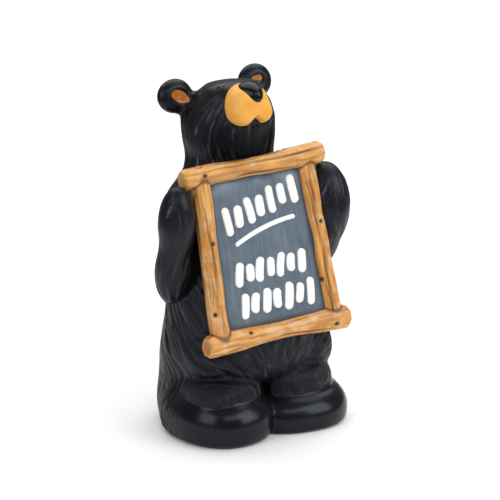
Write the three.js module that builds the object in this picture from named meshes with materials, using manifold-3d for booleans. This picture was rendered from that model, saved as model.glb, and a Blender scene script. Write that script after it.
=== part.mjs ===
// A black bear that stands upright and holds a log-framed chalkboard, as a cast resin figurine.
// Millimetres, +Z up. The bear faces -Y, its left side is +X, and it stands on z = 0.
import * as THREE from "three";
import { mergeVertices } from "three/addons/utils/BufferGeometryUtils.js";
import Module from "manifold-3d";

const wasm = await Module();
wasm.setup();

// ---- Driving dimensions -------------------------------------------------------------------

const CLEARANCE = 0.3; // glue gap kept between the three castings
const FLOOR_BLOCK = 200; // block that planes the soles off flat at z = 0

// The trunk, from the soles to the crown: height, half width, front and back of each station.
const TRUNK = [
  { z: 0, half: 34, front: 4, back: 30 },
  { z: 8, half: 37, front: 2, back: 33 },
  { z: 17, half: 39.5, front: -9, back: 35 },
  { z: 25, half: 41, front: -22, back: 36 },
  { z: 36, half: 42, front: -30, back: 37 },
  { z: 47, half: 41.5, front: -32, back: 37 },
  { z: 57, half: 40, front: -29.5, back: 36 },
  { z: 68, half: 38, front: -25.5, back: 35 },
  { z: 80, half: 36, front: -22, back: 34.5 },
  { z: 92, half: 34, front: -18, back: 34 },
  { z: 104, half: 31.5, front: -14, back: 33.5 },
  { z: 116, half: 28, front: -10.5, back: 33 },
  { z: 127, half: 24.2, front: -8, back: 33 },
  { z: 137, half: 22.8, front: -7.5, back: 34 },
  { z: 146, half: 23.8, front: -8.5, back: 36 },
  { z: 155, half: 24.2, front: -8, back: 37.5 },
  { z: 162, half: 22, front: -5, back: 35 },
  { z: 168.5, half: 17.5, front: -2, back: 29.5 },
  { z: 172.4, half: 11.5, front: 3.5, back: 22.5 },
  { z: 173.8, half: 5, front: 8.5, back: 16 },
];
const TRUNK_RINGS = 22;
const TRUNK_SIDES = 30;

// Rounded masses of one side of the body; the other side is the mirror image.
const HAUNCH = { at: [23, -2.5, 32], radii: [21.3, 29.8, 27], detail: 4 };
const SHIN = { at: [21.5, -14, 17.5], radii: [19.5, 19, 17], detail: 3 };
const FOOT = { at: [21.5, -10.7, 6], radii: [29, 31, 15.5], turn: [0, 0, -7.5], squareness: 2.2, detail: 5 };
const HEEL = { at: [19.8, 12, 8.7], radii: [18, 22, 15.7], detail: 2 };
const SHOULDER = { at: [23, 10, 107], radii: [14.5, 18, 19], detail: 3 };
const UPPER_ARM = { at: [34.5, 4, 92.5], radii: [12, 14, 24], turn: [16, 15, 0], detail: 3 };
const FOREARM = { at: [43.2, -5.5, 90], radii: [10.1, 11.4, 21.5], turn: [16, 5, 0], detail: 3 };
const PAW = { at: [43.9, -10.5, 111.4], radii: [10, 12.4, 19.6], detail: 3 };

// The head's own masses. Those with an x offset are mirrored too.
const MUZZLE = { at: [0, -2.3, 166], radii: [10.4, 11.3, 9.4], turn: [-16, 0, 0], detail: 3 };
const LIP = { at: [4.7, -3.8, 161.7], radii: [6.8, 9.2, 6.2], detail: 3 };
const CHIN = { at: [0, 0.5, 156], radii: [15, 12, 9], detail: 2 };
const NOSE = { at: [0, -5.6, 171.9], radii: [6.6, 6.8, 5.3], pinch: 0.75, droop: 0.35, detail: 3 };
const EYE = { at: [9.3, 4.6, 169.8], radii: [1.8, 1.8, 1.8], detail: 1 };
const BROW = { at: [8.6, 9, 168], radii: [6.5, 7, 5.2], detail: 2 };
const EAR = { at: [24, 26, 166.4], radii: [9.4, 5, 8.7], detail: 3 };
const EAR_HOLLOW = { at: [23.2, 19.8, 167.6], radii: [4.6, 3.8, 4], detail: 2 };
const TAIL = { at: [0, 34, 27], radii: [7.5, 7.5, 9], detail: 2 };

// The sign, in its own plane: x across, y up the board, z out of its face.
const LEAN = THREE.MathUtils.degToRad(15.6); // how far the sign tips back onto the chest
const SIGN_AT = [0, -19.75, 95]; // middle of the board's face
const BOARD = { height: 72.8, topHalf: 26.6, bottomHalf: 29.2, thickness: 4 };
const BOARD_TUCK = 2.5; // how far the board reaches under the logs before it is cut to them
const RAIL_HALF = 42;
const TOP_RAIL = { y: 41, radii: [5.6, 5.4, 4.6, 4.4, 4.5, 4.9, 5.3] };
const BOTTOM_RAIL = { y: -40.6, radii: [6.6, 6.3, 4.8, 4, 4.1, 4.8, 6.2] };
const STILE = { gap: 4.4, radii: [4.8, 4.6, 4.5, 4.5, 4.7, 5.1, 5.4] };
const LOG_SIDES = 11;
const LOG_RINGS = 10;
const LOG_END_ROUND = 1.6; // rounding of a log's cut ends
const LOG_WOBBLE = 0.035; // how far a log's section is out of round, as a share of its radius
const LOG_TWIST = 0.11; // radians that the section turns along each millimetre

// ---- Materials ----------------------------------------------------------------------------

const blackPaint = new THREE.MeshStandardMaterial({ color: 0x232427, roughness: 0.45 });
const logPaint = new THREE.MeshStandardMaterial({ color: 0xd29a4e, roughness: 0.5 });
const slatePaint = new THREE.MeshStandardMaterial({ color: 0x5a6773, roughness: 0.6 });

// ---- Geometry to solid and back -----------------------------------------------------------

// A closed three.js geometry as a solid.
function solidOf(geometry) {
  const bare = geometry.index ? geometry.toNonIndexed() : geometry.clone();
  bare.deleteAttribute("normal");
  bare.deleteAttribute("uv");
  const merged = mergeVertices(bare, 1e-4);
  return new wasm.Manifold(
    new wasm.Mesh({
      numProp: 3,
      vertProperties: merged.attributes.position.array,
      triVerts: new Uint32Array(merged.index.array),
    }),
  );
}

// A solid as a named three.js mesh.
function meshOf(solid, name, material) {
  const { numProp, numVert, vertProperties, triVerts } = solid.getMesh();
  const positions = new Float32Array(numVert * 3);
  for (let i = 0; i < numVert; i++)
    positions.set(vertProperties.subarray(i * numProp, i * numProp + 3), i * 3);
  const geometry = new THREE.BufferGeometry();
  geometry.setAttribute("position", new THREE.BufferAttribute(positions, 3));
  geometry.setIndex(new THREE.BufferAttribute(triVerts, 1));
  geometry.computeVertexNormals();
  const mesh = new THREE.Mesh(geometry, material);
  mesh.name = name;
  return mesh;
}

const join = (solids) => solids.reduce((whole, solid) => whole.add(solid));

// Moves each vertex of a geometry by a function that changes the vector it is given.
function reshape(geometry, move) {
  const place = geometry.attributes.position;
  const v = new THREE.Vector3();
  for (let i = 0; i < place.count; i++) {
    move(v.fromBufferAttribute(place, i));
    place.setXYZ(i, v.x, v.y, v.z);
  }
  return geometry;
}

// ---- The bear -----------------------------------------------------------------------------

// A rounded mass. Squareness 2 is an ellipsoid, and more fills its corners out.
function mass({ at, radii, detail, turn = [0, 0, 0], squareness = 2 }, side = 1) {
  const [tx, ty, tz] = turn.map(THREE.MathUtils.degToRad);
  const rotation = new THREE.Matrix4().makeRotationFromEuler(
    new THREE.Euler(tx, ty * side, tz * side),
  );
  const geometry = reshape(new THREE.IcosahedronGeometry(1, detail), (v) => {
    const norm = [v.x, v.y, v.z].reduce((sum, c) => sum + Math.abs(c) ** squareness, 0);
    v.multiplyScalar(norm ** (-1 / squareness)).multiply(new THREE.Vector3(...radii));
  });
  geometry.applyMatrix4(rotation).translate(at[0] * side, at[1], at[2]);
  return solidOf(geometry);
}

const pair = (shape) => [mass(shape, 1), mass(shape, -1)];

// The trunk, neck and head as one lofted form: a lathe whose rings take the stations' ovals.
function trunk() {
  const widths = new THREE.SplineCurve(TRUNK.map((s) => new THREE.Vector2(s.half, s.z)));
  const depths = new THREE.SplineCurve(TRUNK.map((s) => new THREE.Vector2(s.front, s.back)));
  const profile = [new THREE.Vector2(0, 0)];
  for (let i = 0; i <= TRUNK_RINGS; i++) profile.push(new THREE.Vector2(1, i / TRUNK_RINGS));
  profile.push(new THREE.Vector2(0, 1));
  const lathe = new THREE.LatheGeometry(profile, TRUNK_SIDES);
  return solidOf(
    reshape(lathe, (v) => {
      const { x: half, y: z } = widths.getPoint(v.y);
      const { x: front, y: back } = depths.getPoint(v.y);
      // The lathe turns about its own y, so its z becomes the row's -y.
      v.set(v.x * half, (front + back) / 2 - (v.z * (back - front)) / 2, z);
    }),
  );
}

// The nose narrows to a point at its lower front edge.
function nose() {
  const { at, radii, pinch, droop, detail } = NOSE;
  const ball = reshape(new THREE.IcosahedronGeometry(1, detail), (v) => {
    const drop = THREE.MathUtils.smoothstep(-v.z, 0, 1);
    const stretched = v.z * (1 + droop * drop);
    v.set(v.x * radii[0] * (1 - pinch * drop), v.y * radii[1], stretched * radii[2]);
  });
  return solidOf(ball.translate(...at));
}

function bear(signRoom) {
  const whole = join([
    trunk(),
    ...[HAUNCH, SHIN, FOOT, HEEL, SHOULDER, UPPER_ARM, FOREARM, PAW].flatMap(pair),
    mass(MUZZLE),
    mass(CHIN),
    nose(),
    ...[LIP, EYE, BROW, EAR].flatMap(pair),
    mass(TAIL),
  ]);
  const belowFloor = solidOf(
    new THREE.BoxGeometry(FLOOR_BLOCK, FLOOR_BLOCK, FLOOR_BLOCK).translate(0, 0, -FLOOR_BLOCK / 2),
  );
  const hollows = join(pair(EAR_HOLLOW));
  const cut = whole.subtract(hollows).subtract(belowFloor).subtract(signRoom);
  return meshOf(cut, "bear", blackPaint);
}

// ---- The sign -----------------------------------------------------------------------------

// A peeled log along x, from its radii at even steps. Its ends are sawn off and rounded over.
function log({ radii }, halfLength, { seed = 0, grow = 0 } = {}) {
  const girth = new THREE.SplineCurve(radii.map((r, i) => new THREE.Vector2(i, r + grow)));
  const reach = halfLength + grow;
  const profile = [new THREE.Vector2(0, -reach)];
  for (let i = 0; i <= LOG_RINGS; i++) {
    const t = i / LOG_RINGS;
    const x = -reach + 2 * reach * t;
    const inset = Math.max(0, LOG_END_ROUND - (reach - Math.abs(x)));
    const rounding = LOG_END_ROUND - Math.sqrt(LOG_END_ROUND ** 2 - inset ** 2);
    profile.push(new THREE.Vector2(girth.getPoint(t).y - rounding, x));
  }
  profile.push(new THREE.Vector2(0, reach));
  const lathe = new THREE.LatheGeometry(profile, LOG_SIDES);
  reshape(lathe, (v) => {
    const angle = Math.atan2(v.z, v.x);
    const knotty = 1 + LOG_WOBBLE * Math.sin(3 * angle + LOG_TWIST * v.y + seed);
    v.set(v.x * knotty, v.y, v.z * knotty);
  });
  return lathe.rotateZ(-Math.PI / 2);
}

// Rails and stiles of the frame, in the sign's own plane.
function frameLogs(grow) {
  const lean = Math.atan((BOARD.bottomHalf - BOARD.topHalf) / BOARD.height);
  const stileX = (BOARD.topHalf + BOARD.bottomHalf) / 2 + STILE.gap;
  const stileHalf = (TOP_RAIL.y - BOTTOM_RAIL.y) / 2;
  const stileY = (TOP_RAIL.y + BOTTOM_RAIL.y) / 2;
  const stile = (side) =>
    log(STILE, stileHalf, { seed: 2 + side, grow })
      .rotateZ(Math.PI / 2)
      .rotateZ(side * lean)
      .translate(side * stileX, stileY, 0);
  return join(
    [
      log(TOP_RAIL, RAIL_HALF, { seed: 0.4, grow }).translate(0, TOP_RAIL.y, 0),
      log(BOTTOM_RAIL, RAIL_HALF, { seed: 1.7, grow }).translate(0, BOTTOM_RAIL.y, 0),
      stile(-1),
      stile(1),
    ].map(solidOf),
  );
}

// The board as a slab with rounded corners, before the logs are cut out of it.
function slab(grow) {
  const { height, topHalf, bottomHalf, thickness } = BOARD;
  const top = height / 2 + BOARD_TUCK;
  const outline = new THREE.Shape([
    new THREE.Vector2(-bottomHalf - BOARD_TUCK, -top),
    new THREE.Vector2(bottomHalf + BOARD_TUCK, -top),
    new THREE.Vector2(topHalf + BOARD_TUCK, top),
    new THREE.Vector2(-topHalf - BOARD_TUCK, top),
  ]);
  const extruded = new THREE.ExtrudeGeometry(outline, {
    depth: thickness + 2 * grow,
    bevelEnabled: false,
  });
  return solidOf(extruded.translate(0, 0, -thickness - grow));
}

const sign = new THREE.Group();
sign.position.set(...SIGN_AT);
sign.rotation.x = Math.PI / 2 - LEAN;
sign.updateMatrixWorld();
sign.add(
  meshOf(frameLogs(0), "sign_frame", logPaint),
  meshOf(slab(0).subtract(frameLogs(CLEARANCE)), "sign_board", slatePaint),
);

// The room that the sign takes out of the bear, in the bear's frame.
const signRoom = frameLogs(CLEARANCE)
  .add(slab(CLEARANCE))
  .transform(sign.matrixWorld.toArray());

const figurine = new THREE.Group();
figurine.add(bear(signRoom), sign);

// The origin goes under the middle of the whole figurine.
const bounds = new THREE.Box3().setFromObject(figurine);
const middle = bounds.getCenter(new THREE.Vector3());
figurine.position.set(-middle.x, -middle.y, -bounds.min.z);

export default figurine;
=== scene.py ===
import math
import time

import bmesh
import bpy
import numpy as np
from mathutils import Matrix, Vector


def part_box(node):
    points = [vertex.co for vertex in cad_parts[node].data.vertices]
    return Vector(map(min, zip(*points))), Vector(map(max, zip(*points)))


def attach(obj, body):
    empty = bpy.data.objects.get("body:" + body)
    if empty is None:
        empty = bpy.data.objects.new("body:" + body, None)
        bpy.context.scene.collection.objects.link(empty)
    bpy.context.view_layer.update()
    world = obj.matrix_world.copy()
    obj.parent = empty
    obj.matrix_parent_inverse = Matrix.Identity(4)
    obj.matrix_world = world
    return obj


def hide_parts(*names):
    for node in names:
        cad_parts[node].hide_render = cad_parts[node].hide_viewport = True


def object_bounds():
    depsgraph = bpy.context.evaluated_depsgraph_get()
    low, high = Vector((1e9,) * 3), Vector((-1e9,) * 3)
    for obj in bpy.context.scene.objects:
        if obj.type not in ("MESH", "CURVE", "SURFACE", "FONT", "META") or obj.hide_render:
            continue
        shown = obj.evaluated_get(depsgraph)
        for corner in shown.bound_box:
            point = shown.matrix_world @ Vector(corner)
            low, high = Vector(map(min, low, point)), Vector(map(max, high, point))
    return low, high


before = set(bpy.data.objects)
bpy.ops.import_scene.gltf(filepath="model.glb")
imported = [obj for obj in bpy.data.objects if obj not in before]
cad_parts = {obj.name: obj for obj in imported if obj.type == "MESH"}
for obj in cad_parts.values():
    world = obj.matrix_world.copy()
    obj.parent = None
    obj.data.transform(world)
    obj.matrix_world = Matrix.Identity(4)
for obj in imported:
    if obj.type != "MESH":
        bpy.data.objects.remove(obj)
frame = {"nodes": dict(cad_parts)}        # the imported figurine: bear, sign_frame and sign_board
cadLow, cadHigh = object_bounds()
startTime = time.time()
print("modelled over", ", ".join(frame["nodes"]))

# Everything is modelled in millimetres from the body's axis on the floor, then put into the frame.
mm = 0.001
toeReach = 41.82         # the toes stand this far in front of the body's axis
bodyAxis = Vector((0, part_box("bear")[0][1] / mm + toeReach, 0))


def report(stage):
    print(f"{stage} done at {time.time() - startTime:.1f} s")


def meshPoints(mesh):
    co = np.empty(len(mesh.vertices) * 3)
    mesh.vertices.foreach_get("co", co)
    return co.reshape(-1, 3)


def setPoints(mesh, points):
    mesh.vertices.foreach_set("co", np.asarray(points, np.float32).ravel())
    mesh.update()


def meshNormals(mesh):
    no = np.empty(len(mesh.vertices) * 3)
    mesh.vertex_normals.foreach_get("vector", no)
    return no.reshape(-1, 3)


def setAttribute(mesh, name, values):
    kind = "FLOAT_VECTOR" if np.ndim(values) == 2 else "FLOAT"
    attribute = mesh.attributes.new(name, kind, "POINT")
    key = "vector" if kind == "FLOAT_VECTOR" else "value"
    attribute.data.foreach_set(key, np.asarray(values, np.float32).ravel())


def objectOf(bm, name):
    mesh = bpy.data.meshes.new(name)
    bm.to_mesh(mesh)
    bm.free()
    piece = bpy.data.objects.new(name, mesh)
    bpy.context.scene.collection.objects.link(piece)
    return piece


def applied(piece, kind, **settings):        # runs one modifier and keeps its result
    modifier = piece.modifiers.new(kind, kind)
    for key, value in settings.items():
        setattr(modifier, key, value)
    depsgraph = bpy.context.evaluated_depsgraph_get()
    mesh = bpy.data.meshes.new_from_object(piece.evaluated_get(depsgraph))
    piece.modifiers.clear()
    old = piece.data
    piece.data = mesh
    bpy.data.meshes.remove(old)
    return mesh


def remeshed(piece, voxel):
    return applied(piece, "REMESH", mode="VOXEL", voxel_size=voxel, use_smooth_shade=True)


def smoothShaded(piece):
    piece.data.polygons.foreach_set("use_smooth", np.ones(len(piece.data.polygons), bool))


def placed(piece, slotName, *replacedNodes):  # millimetres from the body's axis into the frame
    piece.data.transform(Matrix.Scale(mm, 4) @ Matrix.Translation(bodyAxis))
    smoothShaded(piece)
    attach(piece, "root")
    if replacedNodes:
        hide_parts(*replacedNodes)


def turnOf(shape, side=1):
    tx, ty, tz = (math.radians(angle) for angle in shape.get("turn", (0, 0, 0)))
    about = Matrix.Rotation(tx, 3, "X") @ Matrix.Rotation(ty * side, 3, "Y")
    return about @ Matrix.Rotation(tz * side, 3, "Z")


def placeOf(shape, side=1):
    x, y, z = shape["at"]
    spin = turnOf(shape, side).to_4x4()
    return Matrix.Translation((x * side, y, z)) @ spin @ Matrix.Diagonal((*shape["radii"], 1))


def massField(p, shape, side=1):             # about the distance to a mass, less than 0 inside it
    at = np.array(shape["at"]) * (side, 1, 1)
    q = (p - at) @ np.array(turnOf(shape, side))
    power = shape.get("square", 2)
    k = (np.abs(q / shape["radii"]) ** power).sum(1) ** (1 / power)
    k = np.maximum(k, 1e-6)
    return (1 - 1 / k) * np.linalg.norm(q, axis=1)


def smoothMin(a, b, k):
    h = np.clip(k - np.abs(a - b), 0, None) / k
    return np.minimum(a, b) - h * h * k / 4


def smoothMax(a, b, k):
    return -smoothMin(-a, -b, k)


def ramp(x, low, high):
    t = np.clip((x - low) / (high - low), 0, 1)
    return t * t * (3 - 2 * t)


def fieldNormal(p, field, step=0.05):        # distance to the field's zero surface, and the way out
    base = field(p)
    slope = np.stack([field(p + step * axis) - base for axis in np.eye(3)], 1) / step
    length = np.maximum(np.linalg.norm(slope, axis=1), 0.2)
    return base / length, slope / length[:, None]


def settled(p, field, steps, reach=1.5):     # moves points onto the field's zero surface
    for _ in range(steps):
        distance, normal = fieldNormal(p, field)
        p = p - normal * np.clip(distance, -reach, reach)[:, None]
    return p


bear = {
    # height, half width, front and back of the trunk's ovals
    "trunk": [
        (0, 34, 4, 30), (8, 36.5, 3, 33), (17, 38.5, -2, 35), (25, 40, -9, 36),
        (36, 40.6, -17, 36.5), (47, 40.2, -24, 36.5), (57, 39.2, -26, 36), (68, 38, -24.5, 35.2),
        (80, 36, -22, 34.7), (92, 34, -18, 34.2), (104, 31.5, -14, 33.5),
        (116, 28.3, -10.5, 33), (127, 23.8, -8, 33), (137, 22.6, -7.5, 34),
        (146, 24, -8, 36), (155, 24.2, -7.5, 37), (162, 21, -5, 33.6), (168.5, 15.5, -1, 26),
        (174, 9, 3, 19),
    ],
    "trunkTop": 170,
    "trunkEase": 5,                          # the ovals are eased into each other over this height
    # each mass is an ellipsoid, with its middle and turn given for the bear's left; sides is 1 for one on
    # its left or on its axis, -1 for one on its right, and not given for a pair; blend is the fillet to
    # what is there already, and two numbers are for its front and its back
    "blendOver": (-16, 8),                   # where the front's fillet turns into the back's
    "masses": {
        "skull": {"at": (0, 11.4, 157.9), "radii": (19.8, 18.4, 15.8), "sides": (1,), "blend": 5},
        "belly": {"at": (0, -3.4, 44.6), "radii": (35.5, 29.5, 24), "square": 2.4, "sides": (1,),
                  "blend": (2.5, 9)},
        "bridge": {"at": (0, 5, 165), "radii": (10.8, 11.5, 9.2), "sides": (1,), "blend": 5},
        "jaw": {"at": (0, 1.5, 155), "radii": (12.5, 11, 7.5), "sides": (1,), "blend": 5},
        "tail": {"at": (0, 34, 27), "radii": (7.5, 7.5, 9), "sides": (1,), "blend": 4},
        "leftHaunch": {"at": (22.6, 0.5, 37), "radii": (19.5, 29, 21), "turn": (0, 0, 22), "sides": (1,),
                       "blend": (2.2, 9)},
        "rightHaunch": {"at": (20.5, 1, 40), "radii": (19, 27, 19), "turn": (0, 0, 22), "sides": (-1,),
                        "blend": (2.5, 9)},
        "shoulders": {"at": (23, 10, 107), "radii": (14.5, 18, 19), "blend": 12},
    },
    "arms": [                                # its left arm, then its right: elbow, forearm, paw
        {"at": (34.5, 4, 92.5), "radii": (12, 14, 24), "turn": (16, 15, 0), "sides": (1,), "blend": 7},
        {"at": (43.3, -5.2, 91.8), "radii": (10.6, 11.1, 23.4), "turn": (18, 6, 0), "sides": (1,),
         "blend": 4},
        {"at": (43.1, -10.6, 110), "radii": (11.5, 12.4, 20.2), "turn": (-5, -2, 0), "sides": (1,),
         "blend": 4.5},
        {"at": (32.7, 3.3, 92.1), "radii": (12.1, 14, 24.1), "turn": (16, 15, 0), "sides": (-1,),
         "blend": 7},
        {"at": (44.6, -5.8, 87.5), "radii": (9.7, 9, 19.4), "turn": (13, 4, 0), "sides": (-1,), "blend": 5},
        {"at": (45.7, -10.5, 112.6), "radii": (9.2, 9.6, 19.3), "turn": (4, 0, 0), "sides": (-1,),
         "blend": 6},
    ],
    "brow": {"at": (8.6, 8, 168), "radii": (6.2, 6.6, 5.2), "blend": 4},
    "outerEars": [
        {"at": (23.4, 26.1, 166.8), "radii": (9.6, 5, 9), "turn": (-10, 0, 0), "sides": (1,), "blend": 5},
        {"at": (24, 25.9, 166), "radii": (9.7, 5, 8.6), "turn": (-10, 0, 0), "sides": (-1,), "blend": 5.5},
    ],
    "heel": {"at": (19.8, 12, 9), "radii": (18, 22, 17), "blend": 9},
    "shins": [
        {"at": (19.6, -12.8, 21), "radii": (20.8, 19.6, 14), "square": 2.3, "sides": (1,),
         "blend": (1.8, 8)},
        {"at": (22.8, -12.4, 22), "radii": (20, 20.8, 11.8), "square": 2.35, "sides": (-1,),
         "blend": (1.8, 8)},
    ],
    "feet": [                                # its left foot is the wider and the flatter
        {"at": (19.6, -10.7, 6.8), "radii": (29.2, 30.2, 16), "turn": (4, 0, -7.5), "square": 2.35,
         "sides": (1,), "blend": (2.2, 7)},
        {"at": (22.9, -10.2, 8.8), "radii": (25.6, 30.4, 18.6), "turn": (2, 0, -9), "square": 2.25,
         "sides": (-1,), "blend": (1.5, 8)},
    ],
    "dishes": [                              # cut out of the front of each ear
        {"at": (23.2, 18.6, 168), "radii": (6.2, 4.1, 5.8), "turn": (-10, 0, 0), "sides": (1,),
         "blend": 2.5},
        {"at": (24, 18.5, 166.9), "radii": (6.4, 4.1, 5.6), "turn": (-10, 0, 0), "sides": (-1,),
         "blend": 2.5},
    ],
    "hollows": [                             # cut deeper into each dish, and painted
        {"at": (21.6, 20.5, 168), "radii": (5.2, 3.2, 3.1), "turn": (-10, -28, 0), "sides": (1,),
         "blend": 0.6},
        {"at": (23.4, 20.5, 166.8), "radii": (5.3, 3.2, 3.1), "turn": (-10, -28, 0), "sides": (-1,),
         "blend": 0.6},
    ],
    "paws": [(44.4, -11.6, 113), (-45.7, -11.5, 116)],
    "pawSize": (9.5, 14, 18),                # half the size of the patch on each paw that has less fur
    "pawSmooth": 0.62,                       # how much of the fur is taken away there
    "soleEdge": 2.4,                         # rounding where the soles meet the shelf
    "roughVoxel": 1.5,
    "fineVoxel": 0.64,
    "mostTriangles": 196000,
}
bearMasses = [*bear["masses"].values(), *bear["arms"], bear["brow"], *bear["outerEars"], bear["heel"],
              *bear["shins"], *bear["feet"]]

sign = {
    "at": (0, -19.75, 95),                   # middle of the board's face
    "lean": 15.6,                            # degrees that it tips back onto the chest
    "boardHeight": 72.8, "topHalf": 26.6, "bottomHalf": 29.2,
    "skew": 0.8,                             # seen from the front its foot is this far right, its top left
    "bed": 3.4,                              # how far behind its face the chest is cut away
    "bedMargin": 2, "bedHalf": 38,           # how far past the board, and how far up and down
}
signTurn = Matrix.Rotation(math.radians(90 - sign["lean"]), 3, "X")


def signPoints(p):                           # into the sign's own plane: across, up and out
    return (p - np.array(sign["at"])) @ np.array(signTurn)


def easedTable(rows, ease, step=0.5):        # the rows at even heights, eased into each other
    rows = np.array(rows, float)
    z = np.arange(rows[0, 0], rows[-1, 0] + step, step)
    width = int(ease / step)
    kernel = np.hanning(2 * width + 1)
    kernel /= kernel.sum()
    columns = [np.interp(z, rows[:, 0], rows[:, c]) for c in range(1, rows.shape[1])]
    eased = [np.convolve(np.pad(c, width, "edge"), kernel, "valid") for c in columns]
    return z, np.array(eased)


trunkHeights, trunkOvals = easedTable(bear["trunk"], bear["trunkEase"])


def trunkField(p):                           # about the distance to the trunk's oval at each height
    half, front, back = (np.interp(p[:, 2], trunkHeights, column) for column in trunkOvals)
    y = p[:, 1] - (front + back) / 2
    k = np.maximum(np.hypot(p[:, 0] / half, y * 2 / (back - front)), 1e-6)
    return np.maximum((1 - 1 / k) * np.hypot(p[:, 0], y), p[:, 2] - bear["trunkTop"])


def blendWidth(p, shape):
    blend = shape["blend"]
    if isinstance(blend, tuple):
        return blend[0] + (blend[1] - blend[0]) * ramp(p[:, 1], *bear["blendOver"])
    return blend


def bearField(p):                            # the whole casting, before its fur is carved
    f = trunkField(p)
    for shape in bearMasses:
        for side in shape.get("sides", (1, -1)):
            f = smoothMin(f, massField(p, shape, side), blendWidth(p, shape))
    for hollow in bear["dishes"] + bear["hollows"]:
        for side in hollow["sides"]:
            f = smoothMax(f, -massField(p, hollow, side), hollow["blend"])
    u, v, w = signPoints(p).T                # the chest is cut away where the sign is bedded in it
    beside = np.maximum(abs(u) - sign["bottomHalf"] - sign["bedMargin"], abs(v) - sign["bedHalf"])
    f = np.maximum(f, -np.maximum(beside, -sign["bed"] - w))
    return smoothMax(f, -p[:, 2], bear["soleEdge"])


def buildBearBody():
    # ovals and ellipsoids are melted into one skin, which is then drawn onto the smooth form
    bm = bmesh.new()
    rings = []
    for z, half, front, back in bear["trunk"]:
        oval = Matrix.Translation((0, (front + back) / 2, z))
        oval = oval @ Matrix.Diagonal((half, (back - front) / 2, 1, 1))
        ring = bmesh.ops.create_circle(bm, cap_ends=False, segments=48, radius=1, matrix=oval)
        rings.append(list({edge for v in ring["verts"] for edge in v.link_edges}))
    for lower, upper in zip(rings, rings[1:]):
        bmesh.ops.bridge_loops(bm, edges=lower + upper)
    bmesh.ops.holes_fill(bm, edges=rings[0] + rings[-1], sides=0)
    for shape in bearMasses:
        for side in shape.get("sides", (1, -1)):
            bmesh.ops.create_icosphere(bm, subdivisions=4, radius=1, matrix=placeOf(shape, side))
    bmesh.ops.recalc_face_normals(bm, faces=bm.faces)
    body = objectOf(bm, "bear_casting")
    mesh = remeshed(body, bear["roughVoxel"])
    setPoints(mesh, settled(meshPoints(mesh), bearField, 6))
    mesh = remeshed(body, bear["fineVoxel"])
    setPoints(mesh, settled(meshPoints(mesh), bearField, 3))
    report(f"bear form, {len(mesh.vertices)} vertices,")
    return body


fur = {
    "seed": 5,
    "cell": 7,                               # near points are looked up in cubes of this size
    "reach": 2.6,                            # a stroke fades out at this many of its widths
    # broad folds first, then locks; spacing is across and along
    "layers": [
        {"tries": 7000, "spacing": (5, 15), "length": (14, 30), "width": (1.4, 2.4),
         "depth": (0.25, 0.75)},
        {"tries": 26000, "spacing": (1.9, 8), "length": (7, 17), "width": (0.6, 0.9),
         "depth": (0.16, 0.42)},
    ],
    "deepest": 0.95,                         # strokes that cross go no deeper than this
    "paint": {"tries": 16000, "spacing": (1.8, 8), "length": (5, 16), "width": (0.35, 0.6)},
    "steps": 9,                              # a stroke follows the fur's fall in this many steps
    "combHeights": (60, 100, 150),           # strands keep the place they have here: legs, arms, head
    "armReach": 2.5,                         # what is this near to an arm's form is combed with the arm
    "combSteps": 24,
}


def nearness(p, shape, reach):               # 1 on the surface of a mass, 0 further than reach from it
    d = np.min([massField(p, shape, side) for side in shape.get("sides", (1, -1))], axis=0)
    return 1 - ramp(d, 0.15 * reach, reach)


def furAmount(p):                            # 0 where the casting is smooth, about 1 in full fur
    x, y, z = p.T
    smooth = np.maximum(*[nearness(p, foot, 1.2) for foot in bear["feet"]]) * ramp(-y, 4, 18)
    for ear in bear["outerEars"]:
        smooth = np.maximum(smooth, nearness(p, ear, 4))
    for spot in bear["paws"]:
        away = (p - np.array(spot)) / bear["pawSize"]
        smooth = np.maximum(smooth, bear["pawSmooth"] * (1 - ramp((away * away).sum(1), 0.75, 1.5)))
    smooth = np.maximum(smooth, 1 - ramp(z, 0.8, 3))            # the soles' edge
    smooth = np.maximum(smooth, 0.6 * ramp(z, 164, 172))        # the crown
    belly = ramp(-y, 12, 20) * ramp(z, 26, 34) * ramp(-z, -66, -58)
    throat = ramp(z, 108, 114) * ramp(-z, -140, -126)
    arms = ramp(np.abs(x), 36, 40) * ramp(z, 62, 70)
    return (1 - smooth) * (1 + 0.4 * belly + 0.35 * throat - 0.15 * arms)


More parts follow.
